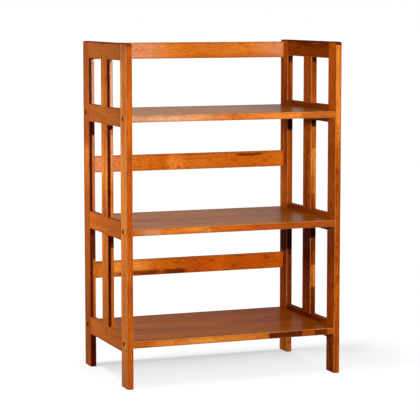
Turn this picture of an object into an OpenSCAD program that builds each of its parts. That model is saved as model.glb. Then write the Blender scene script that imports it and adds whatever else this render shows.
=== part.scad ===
// Open bookcase with slatted side frames, three shelves and three back rails.
// Millimetres. Front is -Y, right is +X, up is +Z. The origin is at the middle of the footprint.

/* [Overall] */
// Width over both side frames
case_w = 652; // [500:1:1000]
// Depth of the side frames
case_d = 400; // [260:1:420]
// Height of the side frames
case_h = 965; // [900:1:1300]

/* [Side frames] */
// Thickness of every side frame board
frame_t = 18; // [16:0.5:25]
// Width of the uprights, seen from the side
stile_w = 54; // [40:1:60]
// Width of the slats between the rails
slat_w = 58; // [36:1:90]
// Height of the cross rail at the top
top_rail_h = 48; // [40:1:60]
// Height of the cross rails at the shelves
rail_h = 50; // [44:1:64]
// Radius of the outer top corners
corner_r = 11; // [4:0.5:20]
// Radius of the front and rear edges under the feet
foot_r = 3; // [1:0.5:8]
// Radius of the eased edges on the frame boards and the back rails
arris_r = 2; // [0.5:0.25:4]

/* [Shelves] */
// Height of the bottom shelf's middle above the floor
first_shelf_z = 125; // [80:1:170]
// Height from one shelf to the next
shelf_pitch = 316; // [220:1:340]
// Thickness of a shelf
shelf_t = 19; // [16:0.5:28]
// Distance from the frame's front edge back to the shelf's front edge
shelf_set_back = 3; // [0:0.5:15]
// Radius of the eased shelf edges
shelf_arris_r = 2; // [0.5:0.25:6]

/* [Back rails] */
// Height of a back rail
back_rail_h = 48; // [36:1:90]
// Thickness of a back rail
back_rail_t = 18; // [14:0.5:22]
// Distance from the frame's back edge to the back rail
back_rail_inset = 5; // [0:0.5:8]
// Distance from the frame's top down to the top back rail
back_rail_drop = 6; // [0:0.5:40]
// Height of a back rail's middle above the middle of the shelf below it
back_rail_rise = 160; // [90:1:180]

/* [Dowels and tenons] */
// Diameter of the dowels
dowel_d = 8; // [6:0.5:9]
// Length of the dowels
dowel_l = 30; // [24:1:36]
// Bevel on the dowel ends
dowel_bevel = 1; // [0.5:0.25:1.5]
// Distance between the two dowels in a rail end
dowel_pair = 28; // [26:1:30]
// Distance between the two dowels in the middle of a shelf end
shelf_dowel_pair = 120; // [70:1:130]
// Depth of a dowel in the inner face of a side frame
blind_depth = 10; // [8:0.5:12]
// Thickness of the tenons on the slats
tenon_t = 8; // [6:0.5:10]
// Length of a slat tenon
tenon_l = 10; // [6:0.5:12]
// Width of the shoulder on each side of a tenon
tenon_shoulder = 6; // [4:0.5:10]
// Room round a dowel, tenon, screw or plug
fit_gap = 0.1; // [0.05:0.05:0.3]
// Room left past the end of a dowel or tenon
end_gap = 0.5; // [0.25:0.25:1]

/* [Shelf screws and plugs] */
// Diameter of the round wood plugs
plug_d = 14; // [11:0.5:16]
// Depth of a plug's face below the frame's outer face
plug_recess = 2.5; // [0:0.25:3]
// Depth of the hole that holds the plug and the screw head
counterbore_depth = 10; // [8.5:0.25:12]
// Diameter of the screw head
screw_head_d = 9; // [7:0.5:10]
// Height of the screw head
screw_head_h = 3; // [2:0.25:4]
// Diameter of the screw below its head
screw_d = 4; // [3:0.25:5]
// Length of the screw below its head
screw_l = 45; // [30:1:60]
// Length of the screw's point
screw_point = 6; // [3:0.5:10]
// Distance from the front stile's inner edge to its screws
front_screw_in = 20; // [14:0.5:24]

/* [Hidden] */
$fn = 64;

STILE_COLOUR = "#B5651E";
RAIL_COLOUR = "#AA5A20";
SLAT_COLOUR = "#B8692A";
SHELF_COLOUR = "#8E5A38";
BACK_COLOUR = "#C4662A";
PLUG_COLOUR = "#8A4A1C";
SCREW_COLOUR = "#B9BCC0";
DOWEL_COLOUR = "#D8B27C";

// The left frame is drawn, and the right one is its mirror image.
frame_out_x = -case_w / 2;
frame_mid_x = frame_out_x + frame_t / 2;
frame_in_x = frame_out_x + frame_t;
inner_w = case_w - 2 * frame_t;

front_y = -case_d / 2;
back_y = case_d / 2;
front_stile_in_y = front_y + stile_w;
rear_stile_in_y = back_y - stile_w;
rail_l = rear_stile_in_y - front_stile_in_y;

bottom_shelf_z = first_shelf_z;
middle_shelf_z = first_shelf_z + shelf_pitch;
top_shelf_z = first_shelf_z + 2 * shelf_pitch;
SHELF_HEIGHTS = [bottom_shelf_z, middle_shelf_z, top_shelf_z];
top_rail_z = case_h - top_rail_h / 2;
RAIL_HEIGHTS = [bottom_shelf_z, middle_shelf_z, top_shelf_z, top_rail_z];

shelf_d = case_d - shelf_set_back;
shelf_mid_y = shelf_set_back / 2;

back_rail_y = back_y - back_rail_inset - back_rail_t / 2;
back_top_z = case_h - back_rail_drop - back_rail_h / 2;
back_middle_z = middle_shelf_z + back_rail_rise;
back_lower_z = bottom_shelf_z + back_rail_rise;
BACK_HEIGHTS = [back_lower_z, back_middle_z, back_top_z];

front_screw_y = front_stile_in_y - front_screw_in;
rear_screw_y = back_y - stile_w / 2;
// The middle shelf has no screw behind, where a blind dowel takes its place.
SCREW_PLACES = [
    [front_screw_y, bottom_shelf_z],
    [front_screw_y, middle_shelf_z],
    [front_screw_y, top_shelf_z],
    [rear_screw_y, bottom_shelf_z],
    [rear_screw_y, top_shelf_z],
];
SHELF_DOWEL_PLACES = [
    for (z = SHELF_HEIGHTS, side = [-1, 1]) [side * shelf_dowel_pair / 2, z],
    [rear_screw_y, middle_shelf_z],
];
BACK_DOWEL_PLACES = [
    for (z = BACK_HEIGHTS, side = [-1, 1]) [back_rail_y, z + side * dowel_pair / 2],
];

screw_seat_x = frame_out_x + counterbore_depth;
shelf_dowel_mid_x = frame_in_x - blind_depth + dowel_l / 2;

// Outline of a board's section with its four long edges rounded.
module eased_section(w, h, r) {
    square([w - 2 * r, h], center = true);
    square([w, h - 2 * r], center = true);
    for (x = [-1, 1], y = [-1, 1]) {
        translate([x * (w / 2 - r), y * (h / 2 - r)])
            circle(r);
    }
}

// Board along Y, centred on the origin.
module board_along_y(l, w, h, r) {
    rotate([90, 0, 0])
        linear_extrude(l, center = true)
            eased_section(w, h, r);
}

// Board along X, centred on the origin.
module board_along_x(l, d, h, r) {
    rotate([90, 0, 90])
        linear_extrude(l, center = true)
            eased_section(d, h, r);
}

// Board along Z, centred on the origin.
module board_along_z(l, w, d, r) {
    linear_extrude(l, center = true)
        eased_section(w, d, r);
}

// What a square corner loses when it is rounded. The corner is at the origin, the board below and left.
module corner_waste(r) {
    difference() {
        translate([-r, -r])
            square(2 * r);
        translate([-r, -r])
            circle(r);
    }
}

// Straight round pin along X, centred on the origin, with bevelled ends.
module dowel_along_x() {
    rotate([0, 90, 0])
        rotate_extrude()
            polygon([
                [0, -dowel_l / 2],
                [dowel_d / 2 - dowel_bevel, -dowel_l / 2],
                [dowel_d / 2, dowel_bevel - dowel_l / 2],
                [dowel_d / 2, dowel_l / 2 - dowel_bevel],
                [dowel_d / 2 - dowel_bevel, dowel_l / 2],
                [0, dowel_l / 2],
            ]);
}

// Hole for that pin.
module dowel_hole_along_x() {
    rotate([0, 90, 0])
        cylinder(h = dowel_l + 2 * end_gap, d = dowel_d + 2 * fit_gap, center = true);
}

// Places for the dowels that join the side rails to the stiles: two at each end of each rail.
module at_frame_dowels() {
    for (z = RAIL_HEIGHTS, y = [front_stile_in_y, rear_stile_in_y], side = [-1, 1]) {
        translate([frame_mid_x, y, z + side * dowel_pair / 2])
            rotate([0, 0, 90])
                children();
    }
}

// Places for the dowels that join the shelves to a side frame.
module at_shelf_dowels() {
    for (p = SHELF_DOWEL_PLACES) {
        translate([shelf_dowel_mid_x, p[0], p[1]])
            children();
    }
}

// Places for the dowels that join the back rails to a rear stile.
module at_back_dowels() {
    for (p = BACK_DOWEL_PLACES) {
        translate([shelf_dowel_mid_x, p[0], p[1]])
            children();
    }
}

// Places for the shelf screws, with X = 0 at the seat of the screw head.
module at_screws() {
    for (p = SCREW_PLACES) {
        translate([screw_seat_x, p[0], p[1]])
            children();
    }
}

// Everything that is bored through a left frame board or a shelf end.
module fastener_holes() {
    at_frame_dowels()
        dowel_hole_along_x();
    at_shelf_dowels()
        dowel_hole_along_x();
    at_back_dowels()
        dowel_hole_along_x();
    at_screws()
        screw_hole();
}

// Room for one screw and its plug.
module screw_hole() {
    translate([-counterbore_depth - end_gap, 0, 0])
        rotate([0, 90, 0])
            cylinder(h = counterbore_depth + end_gap, d = plug_d + 2 * fit_gap);
    translate([-end_gap, 0, 0])
        rotate([0, 90, 0])
            cylinder(h = screw_l + 2 * end_gap, d = screw_d + 2 * fit_gap);
}

// One screw: a round head, a straight shank and a point.
module screw() {
    rotate([0, 90, 0])
        rotate_extrude()
            polygon([
                [0, -screw_head_h],
                [screw_head_d / 2, -screw_head_h],
                [screw_head_d / 2, 0],
                [screw_d / 2, 0],
                [screw_d / 2, screw_l - screw_point],
                [0, screw_l],
            ]);
}

// One plug, between the screw head and the recess.
module plug() {
    plug_l = counterbore_depth - screw_head_h - plug_recess;
    translate([-screw_head_h - plug_l, 0, 0])
        rotate([0, 90, 0])
            cylinder(h = plug_l, d = plug_d);
}

// Rounds a corner of the left frame as seen from the side. The directions are those out of the board.
module rounded_corner(y, out_y, z, out_z, r) {
    translate([frame_mid_x, y, z])
        rotate([90, 0, 90])
            linear_extrude(2 * frame_t, center = true)
                mirror([out_y < 0 ? 1 : 0, 0])
                    mirror([0, out_z < 0 ? 1 : 0])
                        corner_waste(r);
}

// An upright of the left frame. The outer edge is the one away from the slats.
module stile(outer_y, outward) {
    mid_y = outer_y - outward * stile_w / 2;
    difference() {
        intersection() {
            translate([frame_mid_x, mid_y, case_h / 2])
                board_along_z(case_h, frame_t, stile_w, arris_r);
            translate([frame_mid_x, mid_y, case_h / 2])
                board_along_y(stile_w, frame_t, case_h, arris_r);
        }
        rounded_corner(outer_y, outward, case_h, 1, corner_r);
        rounded_corner(outer_y, outward, 0, -1, foot_r);
        rounded_corner(outer_y - outward * stile_w, -outward, 0, -1, foot_r);
        fastener_holes();
    }
}

module front_stile() {
    stile(front_y, -1);
}

module rear_stile() {
    stile(back_y, 1);
}

// A cross rail of the left frame, with mortises for the slats above and below where they are.
module side_rail(z, h, slat_above, slat_below) {
    difference() {
        translate([frame_mid_x, 0, z])
            board_along_y(rail_l, frame_t, h, arris_r);
        if (slat_above)
            mortise(z + h / 2);
        if (slat_below)
            mortise(z - h / 2);
        fastener_holes();
    }
}

// Slot for a slat's tenon, both ways from a rail's edge.
module mortise(edge_z) {
    translate([frame_mid_x, 0, edge_z])
        cube([
            tenon_t + 2 * fit_gap,
            slat_w - 2 * tenon_shoulder + 2 * fit_gap,
            2 * (tenon_l + end_gap),
        ], center = true);
}

// A slat of the left frame between two heights, with a tenon at each end.
module slat(low_z, high_z) {
    translate([frame_mid_x, 0, (low_z + high_z) / 2]) {
        board_along_z(high_z - low_z, frame_t, slat_w, arris_r);
        cube([tenon_t, slat_w - 2 * tenon_shoulder, high_z - low_z + 2 * tenon_l], center = true);
    }
}

// A shelf board with the holes in both of its ends.
module shelf(z) {
    difference() {
        translate([0, shelf_mid_y, z])
            board_along_x(inner_w, shelf_d, shelf_t, shelf_arris_r);
        fastener_holes();
        mirror([1, 0, 0])
            fastener_holes();
    }
}

// A back rail with the holes in both of its ends.
module back_rail(z) {
    difference() {
        translate([0, back_rail_y, z])
            board_along_x(inner_w, back_rail_t, back_rail_h, arris_r);
        at_back_dowels()
            dowel_hole_along_x();
        mirror([1, 0, 0])
            at_back_dowels()
                dowel_hole_along_x();
    }
}

module top_rail() {
    side_rail(top_rail_z, top_rail_h, false, true);
}

module upper_rail() {
    side_rail(top_shelf_z, rail_h, true, true);
}

module middle_rail() {
    side_rail(middle_shelf_z, rail_h, true, true);
}

module lower_rail() {
    side_rail(bottom_shelf_z, rail_h, true, false);
}

module upper_slat() {
    slat(top_shelf_z + rail_h / 2, case_h - top_rail_h);
}

module middle_slat() {
    slat(middle_shelf_z + rail_h / 2, top_shelf_z - rail_h / 2);
}

module lower_slat() {
    slat(bottom_shelf_z + rail_h / 2, middle_shelf_z - rail_h / 2);
}

module right_side() {
    mirror([1, 0, 0])
        children();
}

module left_front_stile() {
    color(STILE_COLOUR) front_stile();
}

module left_rear_stile() {
    color(STILE_COLOUR) rear_stile();
}

module left_top_rail() {
    color(RAIL_COLOUR) top_rail();
}

module left_upper_rail() {
    color(RAIL_COLOUR) upper_rail();
}

module left_middle_rail() {
    color(RAIL_COLOUR) middle_rail();
}

module left_lower_rail() {
    color(RAIL_COLOUR) lower_rail();
}

module left_upper_slat() {
    color(SLAT_COLOUR) upper_slat();
}

module left_middle_slat() {
    color(SLAT_COLOUR) middle_slat();
}

module left_lower_slat() {
    color(SLAT_COLOUR) lower_slat();
}

module right_front_stile() {
    color(STILE_COLOUR) right_side() front_stile();
}

module right_rear_stile() {
    color(STILE_COLOUR) right_side() rear_stile();
}

module right_top_rail() {
    color(RAIL_COLOUR) right_side() top_rail();
}

module right_upper_rail() {
    color(RAIL_COLOUR) right_side() upper_rail();
}

module right_middle_rail() {
    color(RAIL_COLOUR) right_side() middle_rail();
}

module right_lower_rail() {
    color(RAIL_COLOUR) right_side() lower_rail();
}

module right_upper_slat() {
    color(SLAT_COLOUR) right_side() upper_slat();
}

module right_middle_slat() {
    color(SLAT_COLOUR) right_side() middle_slat();
}

module right_lower_slat() {
    color(SLAT_COLOUR) right_side() lower_slat();
}

module back_top_rail() {
    color(BACK_COLOUR) back_rail(back_top_z);
}

module back_middle_rail() {
    color(BACK_COLOUR) back_rail(back_middle_z);
}

module back_lower_rail() {
    color(BACK_COLOUR) back_rail(back_lower_z);
}

module top_shelf() {
    color(SHELF_COLOUR) shelf(top_shelf_z);
}

module middle_shelf() {
    color(SHELF_COLOUR) shelf(middle_shelf_z);
}

module bottom_shelf() {
    color(SHELF_COLOUR) shelf(bottom_shelf_z);
}

module left_shelf_plugs() {
    color(PLUG_COLOUR) at_screws() plug();
}

module right_shelf_plugs() {
    color(PLUG_COLOUR) right_side() at_screws() plug();
}

module left_shelf_screws() {
    color(SCREW_COLOUR) at_screws() screw();
}

module right_shelf_screws() {
    color(SCREW_COLOUR) right_side() at_screws() screw();
}

module left_frame_dowels() {
    color(DOWEL_COLOUR) at_frame_dowels() dowel_along_x();
}

module right_frame_dowels() {
    color(DOWEL_COLOUR) right_side() at_frame_dowels() dowel_along_x();
}

module left_shelf_dowels() {
    color(DOWEL_COLOUR) at_shelf_dowels() dowel_along_x();
}

module right_shelf_dowels() {
    color(DOWEL_COLOUR) right_side() at_shelf_dowels() dowel_along_x();
}

module left_back_rail_dowels() {
    color(DOWEL_COLOUR) at_back_dowels() dowel_along_x();
}

module right_back_rail_dowels() {
    color(DOWEL_COLOUR) right_side() at_back_dowels() dowel_along_x();
}

left_front_stile();
left_rear_stile();
left_top_rail();
left_upper_rail();
left_middle_rail();
left_lower_rail();
left_upper_slat();
left_middle_slat();
left_lower_slat();
right_front_stile();
right_rear_stile();
right_top_rail();
right_upper_rail();
right_middle_rail();
right_lower_rail();
right_upper_slat();
right_middle_slat();
right_lower_slat();
back_top_rail();
back_middle_rail();
back_lower_rail();
top_shelf();
middle_shelf();
bottom_shelf();
left_shelf_plugs();
right_shelf_plugs();
left_shelf_screws();
right_shelf_screws();
left_frame_dowels();
right_frame_dowels();
left_shelf_dowels();
right_shelf_dowels();
left_back_rail_dowels();
right_back_rail_dowels();
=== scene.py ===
"""Looks of the slatted bookcase: lacquered rubberwood boards on a pale floor, in soft studio light."""
import math
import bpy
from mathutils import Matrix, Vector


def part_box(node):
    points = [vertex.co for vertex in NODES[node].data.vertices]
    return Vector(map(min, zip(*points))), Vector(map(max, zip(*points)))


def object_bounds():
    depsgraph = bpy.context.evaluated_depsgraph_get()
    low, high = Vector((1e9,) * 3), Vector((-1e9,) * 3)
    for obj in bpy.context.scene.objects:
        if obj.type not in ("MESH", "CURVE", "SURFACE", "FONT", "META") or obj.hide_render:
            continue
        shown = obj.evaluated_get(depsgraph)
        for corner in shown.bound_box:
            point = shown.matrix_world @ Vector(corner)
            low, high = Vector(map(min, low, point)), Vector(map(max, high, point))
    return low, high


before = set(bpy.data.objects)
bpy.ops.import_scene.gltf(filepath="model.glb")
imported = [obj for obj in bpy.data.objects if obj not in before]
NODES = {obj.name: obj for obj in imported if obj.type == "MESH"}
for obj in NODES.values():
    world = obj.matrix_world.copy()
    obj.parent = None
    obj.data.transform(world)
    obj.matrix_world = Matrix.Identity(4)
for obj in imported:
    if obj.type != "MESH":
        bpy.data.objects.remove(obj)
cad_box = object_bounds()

import zlib

import bpy
from mathutils import Vector

X, Y, Z = 0, 1, 2
TOP_Z = cad_box[1][Z]

# Camera at the front left, a little above the top, in metres and degrees. Its lens and its sensor's
# width are in millimetres.
CAMERA_AT = (-1.859, -4.802, 1.066)
CAMERA_YAW = 21.14
CAMERA_PITCH = 6.58
CAMERA_LENS = 151.40
CAMERA_SENSOR = 36

# Lamps, in metres. At a level of 1 a colour shows as it is written. Spreads and cones are in degrees.
CASE_MIDDLE = Vector((0, 0, 0.5))
KEY_AT = (-0.15, -2.30, 1.105)
KEY_SIZE = (0.05, 0.05)
KEY_LEVEL = 0.88
LEFT_PANEL_AT = (-1.00, 0.25, 0.62)
LEFT_PANEL_SIZE = (0.50, 0.70)
LEFT_PANEL_LEVEL = 0.56
HIGH_LEFT_FROM = (-1.0, 0.1, 0.45)
HIGH_LEFT_LEVEL = 0.18
HIGH_LEFT_SPREAD = 30
OVERHEAD_FROM = (0.0, 0.0, 1.0)
OVERHEAD_LEVEL = 0.12
OVERHEAD_SPREAD = 14
FOOT_LIGHT_AT = (-0.15, -1.30, 0.04)
FOOT_LIGHT_TARGET = (0.317, 0.165, 0.05)
FOOT_LIGHT_LEVEL = 0.55
FOOT_LIGHT_CONE = 7
FOOT_LIGHT_BLEND = 0.6
FOOT_LIGHT_RADIUS = 0.02
FLOOR_KEY_FROM = (-0.33, 0.0, 1.0)
FLOOR_KEY_LEVEL = 0.78
FLOOR_KEY_SPREAD = 16
FLOOR_TOP_FROM = (0.05, 0.0, 1.0)
FLOOR_TOP_LEVEL = 0.22
FLOOR_TOP_SPREAD = 5
RIGHT_FILL_FROM = (1.0, 0.1, 0.12)
RIGHT_FILL_LEVEL = 0.50
BACK_FILL_FROM = (0.1, 1.0, 0.12)
BACK_FILL_LEVEL = 0.50
FILL_SPREAD = 25
FAR_LAMP_DISTANCE = 5
AMBIENT_LEVEL = 0.075

# Floor, in metres. Its grey share runs over SHADE_REACH in Y, by (place from 0 to 1, share) pairs.
FLOOR_REACH = 60
FLOOR_WHITE = 1.02
SHADE_REACH = (-0.30, 0.21)
SHADE_DEPTHS = [(0.0, 0.01), (0.18, 0.04), (0.32, 0.12), (0.66, 0.20), (0.84, 0.30), (0.94, 0.42)]

# Wood colours under the lacquer, linear. SOOT and MAROON serve mostly as painted shade, and PEACH as
# painted light.
SOOT = (0.08, 0.010, 0.001)
SEPIA = (0.12, 0.018, 0.001)
UMBER = (0.19, 0.028, 0.001)
CHESTNUT = (0.31, 0.052, 0.002)
RUSSET = (0.42, 0.074, 0.003)
AMBER = (0.51, 0.102, 0.005)
HONEY = (0.62, 0.150, 0.010)
BUFF = (0.82, 0.230, 0.026)
GOLD = (0.95, 0.320, 0.045)
RUST = (0.54, 0.090, 0.003)
FLAME = (0.66, 0.122, 0.004)
EMBER = (0.80, 0.175, 0.012)
CORAL = (0.93, 0.250, 0.022)
SALMON = (0.84, 0.320, 0.130)
PEACH = (0.84, 0.420, 0.240)
GLOW = (0.98, 0.350, 0.045)
MAROON = (0.55, 0.040, 0.001)
BARK = (0.35, 0.078, 0.007)
NUTMEG = (0.40, 0.102, 0.013)
OLIVE = (0.43, 0.102, 0.010)
FAWN = (0.50, 0.118, 0.011)
OCHRE = (0.56, 0.152, 0.014)
STRAW = (0.74, 0.230, 0.030)
CLAY = (0.72, 0.190, 0.018)
COCOA = (0.42, 0.128, 0.008)
BRICK = (0.62, 0.136, 0.006)
COPPER = (0.68, 0.168, 0.010)
CARAMEL = (0.49, 0.160, 0.010)
WHEAT = (0.55, 0.198, 0.013)
TEAK = (0.475, 0.164, 0.010)
MOCHA = (0.33, 0.082, 0.004)
TAWNY = (0.39, 0.100, 0.005)

# Colours of bare dowels, uncoated ends, pale arrises (partly wear, partly painted highlight) and zinc,
# linear
BARE_WOOD = (0.72, 0.52, 0.30)
CAP = (0.26, 0.045, 0.006)
DARK_CAP = (0.13, 0.020, 0.003)
PALE_ARRIS = (0.86, 0.31, 0.070)
ZINC_DARK = (0.52, 0.52, 0.54)
ZINC_PALE = (0.68, 0.68, 0.70)

# Colours that a wood colour is multiplied by. The third is painted shade on the outer half of the slot
# walls, and the last three are painted shade towards the shelves' right ends.
DEEP = (0.56, 0.40, 0.25)
INKY = (0.30, 0.18, 0.10)
SLOT_SHADE_TINT = (0.85, 0.22, 0.10)
TOP_PAINTED_SHADE = (0.54, 0.40, 0.40)
MIDDLE_PAINTED_SHADE = (0.82, 0.76, 0.76)
BOTTOM_PAINTED_SHADE = (0.92, 0.76, 0.70)

# Lacquer and surfaces: weights of the coat, and roughnesses. A pair goes from low to high noise.
FRAME_COAT = 0.05
INNER_COAT = 0.03
STILE_COAT = 0.11
TOP_COAT = 0.34
MIDDLE_COAT = 0.26
BOTTOM_COAT = 0.13
COAT_IOR = 1.5
COAT_ROUGHNESS = 0.16
SHELF_ROUGHNESS = 0.26
BOARD_ROUGHNESS = (0.45, 0.58)
PLUG_ROUGHNESS = 0.5
DOWEL_ROUGHNESS = (0.5, 0.65)
ZINC_ROUGHNESS = (0.28, 0.45)
DOWEL_SPECULAR = 0.2

# Noises: cycles a metre along and across the grain, and an offset that tells a layer from the others.
# A streak's waves are offset by STREAK_OFFSET times its place across. TURNING_MARKS are cycles a metre
# along X, Y and Z.
SWAY_NOISE = (6, 3, 3.1)
MOTTLE_NOISE = (26, 55, 7.3)
FLAME_NOISE = (75, 250, 4.4)
FIBRE_NOISE = (30, 1100, 2.9)
PORE_NOISE = (160, 2600, 5.5)
STREAK_WAVES = (18, 4)
STREAK_OFFSET = 100
ROUND_FIBRES = (40, 900)
TURNING_MARKS = (6000, 400, 400)

# Number of different seeds, and how far a seed moves a board's noises: along the grain, across it,
# and along its growth rings
SEEDS = 9973
SEED_ALONG = 10
SEED_ACROSS = 30
SEED_RINGS = 20

# Noise values between which an effect grows, and the strengths of the effects. A shade is a number that
# the colour is multiplied by.
NOISE_RANGE = (0.3, 0.7)
RING_DARK = (0.47, 0.68)
MOTTLE_DARK = (0.54, 0.72)
FLAME_DARK = (0.55, 0.72)
FLAME_PALE = (0.3, 0.56)
PORE_CUT = (0.62, 0.74)
# Mottle values over which the pale arrises, partly wear and partly painted highlight, grow fainter in
# patches
WEAR_AND_GLINT_PATCHES = (0.35, 0.55)
FLAME_GAIN = 1.26
FIBRE_SHADES = (0.88, 1.10)
PORE_SHADE = 0.74
KNOT_DEPTH = 1.4
# The least paleness an arris keeps in those patches
LEAST_WEAR_AND_GLINT = 0.65
FIBRE_RELIEF = 0.4
DOWEL_SHADE = 0.62
BOARD_BUMP = {"Strength": 0.10, "Distance": 0.0004}
DOWEL_BUMP = {"Strength": 0.15, "Distance": 0.0003}

# Growth rings: where their middle lies behind a board, and how they bend. A knot is KNOT_STRETCH times
# as long as wide, and pushes the rings aside within KNOT_PUSH times its radius.
PITH_DEPTH = 0.045
PITH_SWAY = 0.030
RINGS_PER_METRE = 70
RING_DRIFT = 1.6
KNOT_STRETCH = 1.5
KNOT_PUSH = 2.5

# Staves, finger joints, edges and glue lines, in metres. ARRIS_DARK is the share of the colour that is
# taken off beside an arris.
STAVE_WIDTH = 0.054
STAVE_LENGTH = 0.27
SEAM = 0.0004
SEAM_SHADE = 0.75
# Where the painted shade towards a shelf's right end begins and is full, in metres along X from its middle
PAINTED_SHADE_REACH = (0.0, 0.28)
FINGER_PITCH = 0.004
FINGER_LENGTH = 0.009
FINGER_BLEND = 0.002
# Where the painted shade on a slot wall's outer half begins and is full, in metres outward from the board's
# middle
SLOT_SHADE_EDGE = (0.001, 0.003)
# The width of an arris's pale band, partly wear and partly painted highlight
ARRIS_WEAR_AND_GLINT = 0.0028
ARRIS_SHADE_REACH = 0.0065
ARRIS_DARK = 0.22
JOINT_LINE = 0.0014
JOINT_SHADE = 0.45
GLAZE_REACH = 0.0045

# The share of a soft mark's reach within which it is full, the same for a streak's half length and half
# width, and the parts of a normal along an axis between which a face or the end grain comes in
FULL_SHARE = 0.3
STREAK_FULL_LENGTH = 0.5
STREAK_FULL_WIDTH = 0.25
FACE_SLOPES = (0.4, 0.6)
END_SLOPES = (0.03, 0.28)

# Plugs over the shelf screws, in metres
PLUG_Y = (-0.166, 0.173)
FIRST_PLUG_Z = 0.125
PLUG_PITCH = 0.316
PLUG_RADIUS = 0.007
# The dark ring round each plug, partly glue line and partly painted shade of its recess
GLUE_AND_SHADE_RING = (0.35 * PLUG_RADIUS, 0.7 * PLUG_RADIUS)


def make_camera():
    """The photograph's view."""
    data = bpy.data.cameras.new("camera")
    data.lens = CAMERA_LENS
    data.sensor_width = CAMERA_SENSOR
    camera = bpy.data.objects.new("camera", data)
    camera.location = CAMERA_AT
    camera.rotation_euler = (math.radians(90 - CAMERA_PITCH), 0, math.radians(-CAMERA_YAW))
    bpy.context.scene.collection.objects.link(camera)
    bpy.context.scene.camera = camera


def aim(lamp, place, target):
    """Puts a lamp at a place, shining on a target."""
    lamp.location = place
    lamp.rotation_euler = (Vector(target) - Vector(place)).to_track_quat("-Z", "Y").to_euler()
    bpy.context.scene.collection.objects.link(lamp)


def area_lamp(name, place, size, level):
    """A lamp of a width and height, unseen itself. Its light has its level at the bookcase's middle."""
    data = bpy.data.lights.new(name, "AREA")
    data.shape = "RECTANGLE"
    data.size, data.size_y = size
    distance = (CASE_MIDDLE - Vector(place)).length
    data.energy = level * math.pi ** 2 * distance ** 2
    lamp = bpy.data.objects.new(name, data)
    lamp.visible_camera = False
    lamp.visible_glossy = False
    aim(lamp, place, CASE_MIDDLE)
    return lamp


def far_lamp(name, direction, level, spread):
    """A distant soft lamp. Its light is the same all over the bookcase."""
    data = bpy.data.lights.new(name, "SUN")
    data.energy = level * math.pi
    data.angle = math.radians(spread)
    lamp = bpy.data.objects.new(name, data)
    lamp.visible_glossy = False
    aim(lamp, Vector(direction) * FAR_LAMP_DISTANCE, (0, 0, 0))
    return lamp


def cone_lamp(name, place, target, level, cone):
    """A narrow lamp, unseen in gloss. Its light has its level at its target."""
    data = bpy.data.lights.new(name, "SPOT")
    distance = (Vector(target) - Vector(place)).length
    data.energy = level * 4 * math.pi ** 2 * distance ** 2
    data.spot_size = math.radians(cone)
    data.spot_blend = FOOT_LIGHT_BLEND
    data.shadow_soft_size = FOOT_LIGHT_RADIUS
    lamp = bpy.data.objects.new(name, data)
    lamp.visible_glossy = False
    aim(lamp, place, target)
    return lamp


def rgba(colour):
    """An opaque colour."""
    return (*colour, 1.0)


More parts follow.
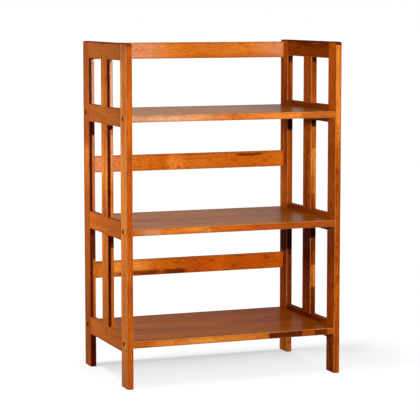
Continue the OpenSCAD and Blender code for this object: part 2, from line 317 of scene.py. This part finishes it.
class Graph:
    """Adds nodes to a node tree. Most methods return the new node's output."""

    def __init__(self, tree):
        self.tree = tree
        tree.nodes.clear()

    def node(self, kind, inputs=(), **settings):
        made = self.tree.nodes.new(kind)
        for key, value in settings.items():
            setattr(made, key, value)
        pairs = inputs.items() if isinstance(inputs, dict) else enumerate(inputs)
        for key, value in pairs:
            self.feed(made.inputs[key], value)
        return made

    def feed(self, socket, value):
        if isinstance(value, bpy.types.NodeSocket):
            self.tree.links.new(value, socket)
        elif value is not None:
            socket.default_value = value

    def math(self, operation, *values):
        return self.node("ShaderNodeMath", values, operation=operation).outputs[0]

    def vector_math(self, operation, *values):
        return self.node("ShaderNodeVectorMath", values, operation=operation).outputs[0]

    def combine(self, x, y, z):
        return self.node("ShaderNodeCombineXYZ", (x, y, z)).outputs[0]

    def separate(self, vector):
        return self.node("ShaderNodeSeparateXYZ", (vector,)).outputs

    def noise(self, vector, detail=2.0, roughness=0.5):
        inputs = {"Vector": vector, "Scale": 1.0, "Detail": detail, "Roughness": roughness}
        return self.node("ShaderNodeTexNoise", inputs).outputs["Fac"]

    def white_noise(self, vector):
        return self.node("ShaderNodeTexWhiteNoise", {"Vector": vector}).outputs["Value"]

    def remap(self, value, low, high, to_low=0.0, to_high=1.0):
        """A smooth step between two values. With low above high it falls."""
        inputs = {"Value": value, "From Min": low, "From Max": high, "To Min": to_low, "To Max": to_high}
        made = self.node("ShaderNodeMapRange", inputs, interpolation_type="SMOOTHSTEP")
        return made.outputs["Result"]

    def share(self, value, low, high):
        """Where a value lies between two others, from 0 to 1."""
        inputs = {"Value": value, "From Min": low, "From Max": high}
        return self.node("ShaderNodeMapRange", inputs).outputs["Result"]

    def blend(self, factor, a, b, mode="MIX"):
        made = self.node("ShaderNodeMix", data_type="RGBA", blend_type=mode)
        for key, value in (("Factor", factor), ("A", a), ("B", b)):
            socket = [s for s in made.inputs if s.name == key and s.enabled][0]
            self.feed(socket, value)
        return [s for s in made.outputs if s.enabled][0]

    def tint(self, factor, colour, by):
        """A colour multiplied by another one, as far as the factor says."""
        return self.blend(factor, colour, self.blend(1.0, colour, rgba(by), "MULTIPLY"))

    def shaded(self, colour, shade):
        """A colour multiplied by a number."""
        return self.blend(1.0, colour, self.combine(shade, shade, shade), "MULTIPLY")

    def ramp(self, value, stops):
        """A colour that runs from stop to stop, each a (place from 0 to 1, colour)."""
        made = self.node("ShaderNodeValToRGB", (value,))
        elements = made.color_ramp.elements
        while len(elements) < len(stops):
            elements.new(1.0)
        while len(elements) > len(stops):
            elements.remove(elements[-1])
        for element, (place, colour) in zip(elements, stops):
            element.position = place
            element.color = rgba(colour)
        return made.outputs["Color"]

    def product(self, *values):
        result = values[0]
        for value in values[1:]:
            result = self.math("MULTIPLY", result, value)
        return result

    def hypotenuse(self, a, b):
        return self.math("SQRT", self.math("ADD", self.math("MULTIPLY", a, a), self.math("MULTIPLY", b, b)))

    def object_place(self):
        """The surface point in the object's own metres."""
        return self.node("ShaderNodeTexCoord").outputs["Object"]

    def bump(self, height, settings):
        return self.node("ShaderNodeBump", {**settings, "Height": height}).outputs[0]

    def surface(self, inputs):
        """Ends a material with its shader."""
        shader = self.node("ShaderNodeBsdfPrincipled", inputs).outputs[0]
        self.node("ShaderNodeOutputMaterial", (shader,))


def new_material(name):
    """An empty node material and its graph."""
    material = bpy.data.materials.new(name)
    material.use_nodes = True
    return material, Graph(material.node_tree)


def background_rays(g):
    """1 for rays that show the background: to the camera, in gloss and through glass."""
    path = g.node("ShaderNodeLightPath").outputs
    gloss = g.math("MAXIMUM", path["Is Glossy Ray"], path["Is Transmission Ray"])
    return g.math("MAXIMUM", path["Is Camera Ray"], gloss)


def make_floor():
    """A pale floor that glows to the eye and in reflections, so that it is white.

    Its grey share keeps the shadow, which is deepest along the rear feet and fades towards the front ones.
    """
    mesh = bpy.data.meshes.new("floor")
    reach = FLOOR_REACH
    corners = [(-reach, -reach, 0), (reach, -reach, 0), (reach, reach, 0), (-reach, reach, 0)]
    mesh.from_pydata(corners, [], [(0, 1, 2, 3)])
    floor = bpy.data.objects.new("floor", mesh)
    bpy.context.scene.collection.objects.link(floor)
    material, g = new_material("floor_paper")
    y = g.separate(g.object_place())[Y]
    depth = g.ramp(g.share(y, *SHADE_REACH), [(place, (grey,) * 3) for place, grey in SHADE_DEPTHS])
    strength = g.product(background_rays(g), g.math("SUBTRACT", FLOOR_WHITE, depth))
    diffuse = g.node("ShaderNodeBsdfDiffuse", {"Color": depth}).outputs[0]
    glow = g.node("ShaderNodeEmission", {"Strength": strength}).outputs[0]
    both = g.node("ShaderNodeAddShader", (diffuse, glow)).outputs[0]
    g.node("ShaderNodeOutputMaterial", (both,))
    mesh.materials.append(material)
    return floor


def light_only(lamp, floor, state):
    """Makes a lamp light nothing but the floor (INCLUDE) or everything but the floor (EXCLUDE)."""
    group = bpy.data.collections.new(lamp.name + "_receivers")
    group.objects.link(floor)
    group.collection_objects[0].light_linking.link_state = state
    lamp.light_linking.receiver_collection = group


def make_world():
    """White to the eye and in reflections, and a plain soft grey as light."""
    world = bpy.data.worlds.new("studio")
    bpy.context.scene.world = world
    world.use_nodes = True
    g = Graph(world.node_tree)
    strength = g.remap(background_rays(g), 0, 1, AMBIENT_LEVEL, 1)
    light = g.node("ShaderNodeBackground", {"Color": (1, 1, 1, 1), "Strength": strength}).outputs[0]
    g.node("ShaderNodeOutputWorld", (light,))


class Board:
    """One board's own axes: along the grain, across its width and through it, in metres from its centre."""

    def __init__(self, g, name, grain):
        low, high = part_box(name)
        size = high - low
        others = sorted((axis for axis in (X, Y, Z) if axis != grain), key=lambda axis: -size[axis])
        self.g = g
        self.grain = grain
        self.start = low[grain]
        self.middle = (low[grain] + high[grain]) / 2
        self.place = g.object_place()
        self.normal = g.separate(g.node("ShaderNodeNewGeometry").outputs["Normal"])
        order = [grain] + others
        parts = g.separate(g.vector_math("SUBTRACT", self.place, tuple((low + high) / 2)))
        self.along, self.across, self.through = [parts[axis] for axis in order]
        self.length, self.width, self.thickness = [size[axis] for axis in order]
        self.seed = zlib.crc32(name.encode()) % SEEDS / SEEDS

    def stretched(self, along_scale, cross_scale, offset):
        """A place for noise that is drawn out along the grain."""
        g = self.g
        return g.combine(
            g.math("MULTIPLY_ADD", self.along, along_scale, SEED_ALONG * self.seed + offset),
            g.math("MULTIPLY_ADD", self.across, cross_scale, SEED_ACROSS * self.seed),
            g.math("MULTIPLY_ADD", self.through, cross_scale, offset),
        )

    def gaps(self):
        """Distances from a surface point to the board's ends, sides and faces."""
        g = self.g
        pairs = ((self.along, self.length), (self.across, self.width), (self.through, self.thickness))
        return [g.math("SUBTRACT", size / 2, g.math("ABSOLUTE", part)) for part, size in pairs]

    def facing(self, axis, slopes=FACE_SLOPES):
        """1 on the surfaces that look along an axis, either way."""
        return self.g.remap(self.g.math("ABSOLUTE", self.normal[axis]), *slopes)

    def looking(self, axis, sense):
        """1 on the surfaces that look one way along an axis: 1 for ahead, -1 for back."""
        return self.g.remap(self.g.math("MULTIPLY", self.normal[axis], sense), *FACE_SLOPES)

    def fingers(self):
        """The place along the grain, with the zigzag of a finger joint added to it."""
        g = self.g
        zigzag = g.math("PINGPONG", self.across, FINGER_PITCH / 2)
        return g.math("MULTIPLY_ADD", zigzag, FINGER_LENGTH / (FINGER_PITCH / 2), self.along)

    def tones(self, stops):
        """The colour along the board, from (place in the object's own metres, colour) pairs."""
        g = self.g
        share = g.share(self.fingers(), -self.length / 2, self.length / 2)
        return g.ramp(share, [((place - self.start) / self.length, colour) for place, colour in stops])

    def spot(self, along, across, radius):
        """1 in the middle of a knot, falling to 0 at its radius. Knots are drawn out along the grain."""
        g = self.g
        a = g.math("DIVIDE", g.math("SUBTRACT", self.along, along - self.middle), KNOT_STRETCH)
        c = g.math("SUBTRACT", self.across, across)
        return g.remap(g.hypotenuse(a, c), radius, radius * FULL_SHARE)

    def streak(self, start, end, across, width):
        """1 in the inner half of a streak's length and the inner quarter of its width, 0 around it."""
        g = self.g
        half_length = (end - start) / 2
        half_width = width / 2
        a = g.math("ABSOLUTE", g.math("SUBTRACT", self.along, start + half_length - self.middle))
        waves = g.noise(self.stretched(*STREAK_WAVES, across * STREAK_OFFSET))
        wave = g.math("MULTIPLY_ADD", waves, width, -half_width)
        c = g.math("ABSOLUTE", g.math("SUBTRACT", g.math("ADD", self.across, wave), across))
        within_length = g.remap(a, half_length, half_length * STREAK_FULL_LENGTH)
        within_width = g.remap(c, half_width, half_width * STREAK_FULL_WIDTH)
        return g.product(within_length, within_width)


def growth_rings(board, knots):
    """Noise in rings round a pith beside the board. Flat faces show arches, and lines flow round knots."""
    g = board.g
    sway = g.noise(board.stretched(*SWAY_NOISE), detail=1)
    aside = g.math("MULTIPLY_ADD", sway, 2 * PITH_SWAY, (board.seed - 1) * PITH_SWAY)
    for along, across, radius in knots:
        push = g.math("MULTIPLY", board.spot(along, across, KNOT_PUSH * radius), radius)
        aside = g.math("ADD", aside, push)
    across = g.math("ADD", board.across, aside)
    depth = g.math("ADD", board.through, PITH_DEPTH * (0.5 + board.seed))
    ring = g.math("MULTIPLY", g.hypotenuse(across, depth), RINGS_PER_METRE)
    drift = g.math("MULTIPLY_ADD", board.along, RING_DRIFT, SEED_RINGS * board.seed)
    return g.noise(g.combine(ring, drift, 0.0), detail=3, roughness=0.6)


def stave_rows(board, light, dark, right_end_shade):
    """Rows of short finger-jointed staves, each of its own tone, with fine glue lines.

    Towards the right end of the top and the underside the tones are multiplied by a colour of painted
    shade.
    """
    g = board.g
    from_front = g.math("ADD", board.across, board.width / 2)
    row = g.math("FLOOR", g.math("DIVIDE", from_front, STAVE_WIDTH))
    start = g.math("MULTIPLY", g.white_noise(g.combine(row, board.seed, 0.0)), STAVE_LENGTH)
    stave = g.math("FLOOR", g.math("DIVIDE", g.math("ADD", board.fingers(), start), STAVE_LENGTH))
    pick = g.white_noise(g.combine(row, stave, board.seed))
    colour = g.blend(pick, rgba(dark), rgba(light))
    middle = g.math("SUBTRACT", g.math("MODULO", from_front, STAVE_WIDTH), STAVE_WIDTH / 2)
    half = STAVE_WIDTH / 2
    seam = g.remap(g.math("ABSOLUTE", middle), half - SEAM, half, 1.0, SEAM_SHADE)
    right_end_shaded = g.math("MULTIPLY", g.remap(board.along, *PAINTED_SHADE_REACH), board.facing(Z))
    return g.shaded(g.tint(right_end_shaded, colour, right_end_shade), seam)


def face_tones(board, broad, narrow, away, ends):
    """The colours of a board's faces along the grain, before its figure."""
    g = board.g
    colour = stave_rows(board, *broad) if ends == "shelf" else board.tones(broad)
    if away:
        far_side = g.math("MAXIMUM", board.looking(X, 1), board.looking(Y, 1))
        colour = g.blend(far_side, colour, board.tones(away))
    if narrow:
        colour = g.blend(board.looking(Y, -1), colour, board.tones(narrow))
    return colour


def stain(board, colour, outward, strength):
    """Paints shade on the outer half of the side towards the front, where the boards in front cast their
    shadow. outward is the sense of X there.
    """
    g = board.g
    outer = g.remap(g.math("MULTIPLY", board.through, outward), *SLOT_SHADE_EDGE)
    return g.tint(g.product(outer, board.looking(Y, -1), strength), colour, SLOT_SHADE_TINT)


def figured(board, colour, mottle, flame, figure, knots, streaks):
    """Darkens a colour by the growth rings, the mottling, the flame and the knots, and adds the streaks."""
    g = board.g
    rings = growth_rings(board, knots)
    dark = g.math("MAXIMUM", g.remap(rings, *RING_DARK), g.remap(mottle, *MOTTLE_DARK))
    dark = g.math("MAXIMUM", dark, g.remap(flame, *FLAME_DARK))
    for along, across, radius in knots:
        knot = g.math("MULTIPLY", board.spot(along, across, radius), KNOT_DEPTH)
        dark = g.math("MAXIMUM", dark, knot)
    colour = g.tint(g.math("MULTIPLY", dark, figure), colour, DEEP)
    for start, end, across, width, strength in streaks:
        line = g.math("MULTIPLY", board.streak(start, end, across, width), strength)
        colour = g.tint(line, colour, INKY)
    return colour


def worn_and_glinting_edges(board, colour, shade, mottle, arris, ends):
    """Pale arrises, partly wear and partly painted highlight, with a darker line beside them, and dark glue
    lines at joined ends.
    """
    g = board.g
    end_gap, side_gap, face_gap = board.gaps()
    edge = g.math("MAXIMUM", side_gap, face_gap)
    if ends == "worn":
        end_edge = g.math("MAXIMUM", end_gap, g.math("MINIMUM", side_gap, face_gap))
        edge = g.math("MINIMUM", edge, end_edge)
    beside = g.product(g.remap(edge, ARRIS_SHADE_REACH, ARRIS_WEAR_AND_GLINT), ARRIS_DARK)
    shade = g.product(shade, g.math("SUBTRACT", 1.0, beside))
    patches = g.remap(mottle, *WEAR_AND_GLINT_PATCHES, 1.0, LEAST_WEAR_AND_GLINT)
    # The pale arris, partly wear and partly painted highlight
    worn = g.product(g.remap(edge, ARRIS_WEAR_AND_GLINT, ARRIS_WEAR_AND_GLINT * FULL_SHARE), patches, arris)
    if ends == "joined":
        shade = g.product(shade, g.remap(end_gap, JOINT_LINE, JOINT_LINE * FULL_SHARE, 1.0, JOINT_SHADE))
    return g.blend(worn, colour, rgba(PALE_ARRIS)), shade


def wood(name, grain, broad, narrow=None, away=None, coat=FRAME_COAT, coat_roughness=COAT_ROUGHNESS,
         arris=0.9, figure=1.0, stained=0, cap=CAP, knots=(), streaks=(), ends="joined"):
    """Lacquered rubberwood for one board, with its figure, pores, staves, knots, and pale arrises that are
    partly wear and partly painted highlight.

    broad and narrow are the tones of its wide faces and of its side towards the front, and away those
    of the faces towards the right and the back, where they differ. The arris, figure and slot-shade
    arguments set how pale the arrises are, as wear and painted highlight, how strongly the figure
    shows, and how much painted shade the outer half of the front side takes.
    cap is the colour of its end grain and of the frame's top surface, which have no coat. Ends are
    joined, with a dark glue line, or worn, with pale arrises at the ends too, or those of a shelf, whose
    broad faces are rows of staves.
    A knot is (along, across, radius) and a streak (start, end, across, width, strength), in metres,
    along the grain's own axis and across from the board's middle.
    """
    material, g = new_material(name + "_lacquer")
    board = Board(g, name, grain)
    colour = face_tones(board, broad, narrow, away, ends)
    if stained:
        outward = -1 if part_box(name)[0][X] < 0 else 1
        colour = stain(board, colour, outward, stained)

    mottle = g.noise(board.stretched(*MOTTLE_NOISE), detail=3, roughness=0.6)
    flame = g.noise(board.stretched(*FLAME_NOISE), detail=3, roughness=0.65)
    fibre = g.noise(board.stretched(*FIBRE_NOISE))
    pores = g.remap(g.noise(board.stretched(*PORE_NOISE), detail=1), *PORE_CUT)
    colour = figured(board, colour, mottle, flame, figure, knots, streaks)
    shade = g.remap(fibre, *NOISE_RANGE, *FIBRE_SHADES)
    shade = g.product(shade, g.remap(flame, *FLAME_PALE, FLAME_GAIN, 1.0))
    shade = g.product(shade, g.remap(pores, 0, 1, 1.0, PORE_SHADE))
    colour, shade = worn_and_glinting_edges(board, colour, shade, mottle, arris, ends)

    crown = g.remap(g.separate(board.place)[Z], TOP_Z - GLAZE_REACH, TOP_Z - GLAZE_REACH / 3)
    crown = g.math("MAXIMUM", crown, board.facing(grain, END_SLOPES))
    colour = g.shaded(g.blend(crown, colour, rgba(cap)), shade)
    relief = g.math("SUBTRACT", g.math("MULTIPLY", fibre, FIBRE_RELIEF), pores)
    g.surface({
        "Base Color": colour,
        "Roughness": g.remap(mottle, *NOISE_RANGE, *BOARD_ROUGHNESS),
        "Normal": g.bump(relief, BOARD_BUMP),
        "Specular IOR Level": 0.0,
        "Coat Weight": g.math("MULTIPLY_ADD", crown, -coat, coat),
        "Coat Roughness": coat_roughness,
        "Coat IOR": COAT_IOR,
    })
    return material


def round_fibres(g, grain):
    """Noise of fine fibres along one axis."""
    along, across = ROUND_FIBRES
    scale = [across] * 3
    scale[grain] = along
    return g.noise(g.vector_math("MULTIPLY", g.object_place(), tuple(scale)))


def dowel_wood(name, grain):
    """Bare turned wood, with its grain along one axis."""
    material, g = new_material(name + "_wood")
    fibres = round_fibres(g, grain)
    dark = tuple(DOWEL_SHADE * c for c in BARE_WOOD)
    g.surface({
        "Base Color": g.blend(g.remap(fibres, *NOISE_RANGE), rgba(dark), rgba(BARE_WOOD)),
        "Roughness": g.remap(fibres, *NOISE_RANGE, *DOWEL_ROUGHNESS),
        "Normal": g.bump(fibres, DOWEL_BUMP),
        "Specular IOR Level": DOWEL_SPECULAR,
    })
    return material


def plug_wood(name):
    """Lacquered plugs with a dark ring, partly glue line and partly painted shade of the recess, at the
    heights of the shelves and near a frame's edges.
    """
    material, g = new_material(name + "_wood")
    place = g.separate(g.object_place())
    fore_and_aft = [g.math("ABSOLUTE", g.math("SUBTRACT", place[Y], y)) for y in PLUG_Y]
    aside = g.math("MINIMUM", *fore_and_aft)
    above = g.math("PINGPONG", g.math("SUBTRACT", place[Z], FIRST_PLUG_Z), PLUG_PITCH / 2)
    ring = g.remap(g.hypotenuse(aside, above), *GLUE_AND_SHADE_RING)
    colour = g.blend(g.remap(round_fibres(g, X), *NOISE_RANGE), rgba(RUSSET), rgba(OCHRE))
    g.surface({
        "Base Color": g.blend(ring, colour, rgba(SOOT)),
        "Roughness": PLUG_ROUGHNESS,
        "Specular IOR Level": 0.0,
        "Coat Weight": FRAME_COAT,
        "Coat Roughness": COAT_ROUGHNESS,
    })
    return material


def zinc(name):
    """Zinc-plated screw steel with turning marks."""
    material, g = new_material(name + "_zinc")
    marks = g.noise(g.vector_math("MULTIPLY", g.object_place(), TURNING_MARKS), detail=1)
    g.surface({
        "Base Color": g.blend(marks, rgba(ZINC_DARK), rgba(ZINC_PALE)),
        "Metallic": 1.0,
        "Roughness": g.remap(marks, 0, 1, *ZINC_ROUGHNESS),
    })
    return material


def dress(name, material):
    """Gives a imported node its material."""
    NODES[name].material_slots[0].material = material


def board(name, grain, broad, **details):
    """Dresses one board. Tones are (place on the grain's axis in metres, colour) pairs."""
    dress(name, wood(name, grain, broad, **details))


def plain(colour):
    """The tones of a board of one colour."""
    return [(0, colour)]


def step(place, before, after):
    """Two stops that make a finger joint between two tones."""
    return [(place - FINGER_BLEND, before), (place + FINGER_BLEND, after)]


def dress_left_frame():
    """The left frame, whose outer face shows. The tones of its slot walls that face the front are painted
    light and shade: pale peach and salmon where light falls, maroon at their tops under the rails and
    shelves and at the rear stile's foot.
    """
    board("left_front_stile", Z,
          [(0, OCHRE), (0.12, CLAY), (0.36, CLAY), (0.50, STRAW), (0.88, STRAW), (0.95, OCHRE)],
          narrow=[(0, RUST), (0.14, FLAME), (0.25, RUST), (0.285, RUSSET), (0.32, FLAME), (0.42, RUST),
                  (0.60, RUST), (0.655, RUSSET), (0.71, FLAME), (0.88, RUST), (0.925, RUSSET),
                  (0.95, RUST)],
          coat=STILE_COAT, arris=0.8, figure=0.8)
    board("left_rear_stile", Z, [(0, BARK), (0.52, BARK), (0.65, OCHRE), (0.675, BARK), (0.90, BARK)],
          narrow=[(0.09, MAROON), (0.12, AMBER), (0.38, BUFF)] + step(0.40, BUFF, MAROON)
          + step(0.425, MAROON, HONEY) + [(0.67, SALMON)] + step(0.695, SALMON, MAROON)
          + step(0.75, MAROON, PEACH),
          arris=0.3, figure=0.8, stained=0.7)
    board("left_upper_slat", Z, [(0.78, OCHRE), (0.92, OLIVE)], narrow=plain(PEACH),
          arris=0.2, figure=0.8, stained=1.0)
    board("left_middle_slat", Z, [(0.46, OLIVE), (0.60, STRAW), (0.72, OLIVE)],
          narrow=[(0.56, BUFF), (0.68, SALMON)] + step(0.722, SALMON, MAROON),
          arris=0.2, figure=0.8, stained=0.7)
    board("left_lower_slat", Z, [(0.15, OLIVE), (0.40, OCHRE)],
          narrow=[(0.37, HONEY)] + step(0.40, BUFF, MAROON),
          arris=0.2, figure=0.8, stained=0.7)
    board("left_top_rail", Y, plain(NUTMEG), arris=0.4, figure=0.6)
    board("left_upper_rail", Y, plain(NUTMEG), arris=0.5, figure=0.6)
    board("left_middle_rail", Y, [(-0.15, OLIVE), (0.15, FAWN)], arris=0.5, figure=0.6)
    board("left_lower_rail", Y, plain(FAWN), arris=0.5, figure=0.6,
          streaks=[(-0.14, 0.02, 0.006, 0.004, 0.4)])


def right_board(name, grain, broad, **details):
    """Dresses a board of the right frame, whose inner face shows. The given tones of its inner and front
    faces are mostly darker than the plain ochre of its faces towards the right and the back; that darkness
    is painted shade.
    """
    board(name, grain, broad, away=plain(OCHRE), coat=INNER_COAT, figure=1.2, cap=DARK_CAP, **details)


def dress_right_frame():
    """The right frame. The near-black tones at the tops of the walls of its slots that face the front, and
    on the rear stile's inner face below the middle shelf, are painted shade of the shelves and rails above;
    the bright golden bands on the slat walls are painted light.
    """
    right_board("right_front_stile", Z,
                [(0, FLAME), (0.10, FLAME), (0.13, AMBER), (0.40, RUSSET), (0.52, AMBER), (0.66, AMBER),
                 (0.72, FLAME)],
                narrow=[(0, FLAME), (0.12, RUST), (0.25, FLAME), (0.38, RUST), (0.40, RUSSET),
                        (0.43, AMBER), (0.55, RUSSET), (0.66, AMBER), (0.74, BUFF)],
                streaks=[(0.74, 0.965, -0.0215, 0.006, 0.9)])
    right_board("right_rear_stile", Z,
                [(0, HONEY), (0.10, AMBER), (0.13, CHESTNUT), (0.25, CHESTNUT)]
                + step(0.32, CHESTNUT, SOOT) + step(0.43, SOOT, AMBER) + [(0.60, HONEY), (0.71, AMBER)],
                narrow=[(0, HONEY), (0.10, HONEY), (0.13, UMBER), (0.28, UMBER)] + step(0.31, UMBER, SOOT)
                + step(0.43, SOOT, CHESTNUT) + [(0.60, AMBER)] + step(0.695, AMBER, SOOT)
                + step(0.75, SOOT, RUSSET) + step(0.902, RUSSET, SOOT))
    right_board("right_upper_slat", Z, plain(AMBER),
                narrow=[(0.78, AMBER), (0.90, RUSSET)] + step(0.907, RUSSET, SOOT))
    right_board("right_middle_slat", Z, [(0.48, AMBER), (0.70, HONEY), (0.73, CHESTNUT)],
                narrow=[(0.47, CHESTNUT), (0.50, RUST)] + step(0.515, RUST, BUFF)
                + step(0.575, BUFF, GLOW) + step(0.65, GLOW, HONEY) + [(0.69, HONEY)]
                + step(0.715, HONEY, SOOT))
    right_board("right_lower_slat", Z, [(0.16, RUSSET), (0.28, CHESTNUT)] + step(0.31, CHESTNUT, UMBER),
                narrow=[(0.16, UMBER)] + step(0.235, CHESTNUT, BUFF) + step(0.30, GOLD, RUSSET)
                + step(0.345, CHESTNUT, UMBER) + step(0.395, UMBER, SOOT))
    right_board("right_top_rail", Y, plain(CHESTNUT))
    right_board("right_upper_rail", Y, [(-0.14, RUSSET), (-0.06, CHESTNUT)], arris=0.3)
    right_board("right_middle_rail", Y, [(-0.12, RUSSET), (0.04, CHESTNUT)], arris=0.3)
    right_board("right_lower_rail", Y, [(-0.12, CHESTNUT), (0.0, UMBER)], arris=0.2)


def back_board(name, broad, **details):
    """Dresses a back rail, whose free ends have pale arrises, partly wear and partly painted highlight."""
    board(name, X, broad, ends="worn", arris=0.5, **details)


def dress_back_rails():
    """The three rails between the rear stiles."""
    # The pale salmon at the top rail's left end is a painted reflection.
    back_board("back_top_rail",
               [(-0.30, SALMON), (-0.13, SALMON), (-0.05, BUFF), (0.00, CLAY), (0.08, CLAY), (0.20, BUFF),
                (0.30, SALMON)],
               figure=0.5, knots=[(-0.168, 0.003, 0.0055), (-0.150, 0.002, 0.0065)])
    back_board("back_middle_rail",
               [(-0.28, SALMON), (-0.19, CLAY), (-0.12, COPPER), (-0.075, BRICK), (-0.06, BUFF),
                (-0.02, BUFF), (0.0, COPPER)]
               + step(0.058, CLAY, COPPER) + [(0.20, BRICK), (0.30, COPPER)],
               figure=0.75, knots=[(-0.068, -0.016, 0.004), (-0.034, -0.017, 0.006)],
               streaks=[(0.14, 0.25, 0.0150, 0.011, 1.0)])
    back_board("back_lower_rail",
               [(-0.30, HONEY), (-0.24, GOLD), (-0.17, GOLD), (-0.11, COPPER), (-0.05, BRICK),
                (0.02, RUST), (0.10, FLAME), (0.16, RUST), (0.30, FLAME)],
               figure=0.75,
               streaks=[(-0.26, -0.07, -0.018, 0.026, 1.0), (-0.10, 0.0, -0.014, 0.024, 1.0)])


def shelf_board(name, staves, front, coat, figure):
    """Dresses a shelf. staves are its light and dark tones and the colour of its painted shade towards the
    right end, front its front edge.
    """
    board(name, X, staves, narrow=front, coat=coat, coat_roughness=SHELF_ROUGHNESS, figure=figure,
          ends="shelf")


def dress_shelves():
    """The three shelves. The higher ones are paler and shinier."""
    # The pale peach and salmon at the left end of the top shelf's front are a painted reflection.
    top_front = [(-0.30, PEACH), (-0.17, PEACH), (-0.12, SALMON), (0.00, HONEY), (0.10, BUFF)] \
        + step(0.21, BUFF, HONEY)
    middle_front = [(-0.30, COPPER), (-0.26, SALMON)] + step(-0.218, SALMON, CORAL) + [(-0.12, CORAL)] \
        + step(-0.07, GOLD, EMBER) + [(0.0, FLAME), (0.09, RUST), (0.16, RUSSET), (0.30, RUSSET)]
    bottom_front = step(-0.25, COPPER, BUFF) \
        + [(-0.15, BUFF), (-0.12, GOLD), (-0.04, GLOW), (0.04, BUFF)] + step(0.11, HONEY, SEPIA) \
        + step(0.215, SEPIA, RUSSET) + step(0.255, RUSSET, SEPIA) + step(0.295, UMBER, AMBER)
    shelf_board("top_shelf", (WHEAT, TEAK, TOP_PAINTED_SHADE), top_front, TOP_COAT, 0.7)
    shelf_board("middle_shelf", (CARAMEL, COCOA, MIDDLE_PAINTED_SHADE), middle_front, MIDDLE_COAT, 0.8)
    shelf_board("bottom_shelf", (TAWNY, MOCHA, BOTTOM_PAINTED_SHADE), bottom_front, BOTTOM_COAT, 0.6)


def dress_fastenings(side):
    """The plugs, screws and dowels of one side."""
    dress(side + "shelf_plugs", plug_wood(side + "shelf_plugs"))
    dress(side + "shelf_screws", zinc(side + "shelf_screws"))
    for kind, grain in (("frame_dowels", Y), ("shelf_dowels", X), ("back_rail_dowels", X)):
        dress(side + kind, dowel_wood(side + kind, grain))


make_camera()
make_world()
floor = make_floor()
object_lamps = [
    area_lamp("key", KEY_AT, KEY_SIZE, KEY_LEVEL),
    area_lamp("left_panel", LEFT_PANEL_AT, LEFT_PANEL_SIZE, LEFT_PANEL_LEVEL),
    far_lamp("high_left", HIGH_LEFT_FROM, HIGH_LEFT_LEVEL, HIGH_LEFT_SPREAD),
    far_lamp("overhead", OVERHEAD_FROM, OVERHEAD_LEVEL, OVERHEAD_SPREAD),
    far_lamp("right_fill", RIGHT_FILL_FROM, RIGHT_FILL_LEVEL, FILL_SPREAD),
    far_lamp("back_fill", BACK_FILL_FROM, BACK_FILL_LEVEL, FILL_SPREAD),
    cone_lamp("foot_light", FOOT_LIGHT_AT, FOOT_LIGHT_TARGET, FOOT_LIGHT_LEVEL, FOOT_LIGHT_CONE),
]
for lamp in object_lamps:
    light_only(lamp, floor, "EXCLUDE")
floor_lamps = [
    far_lamp("floor_key", FLOOR_KEY_FROM, FLOOR_KEY_LEVEL, FLOOR_KEY_SPREAD),
    far_lamp("floor_top", FLOOR_TOP_FROM, FLOOR_TOP_LEVEL, FLOOR_TOP_SPREAD),
]
for lamp in floor_lamps:
    light_only(lamp, floor, "INCLUDE")

dress_left_frame()
dress_right_frame()
dress_back_rails()
dress_shelves()
dress_fastenings("left_")
dress_fastenings("right_")

bpy.context.scene.view_settings.view_transform = "Standard"
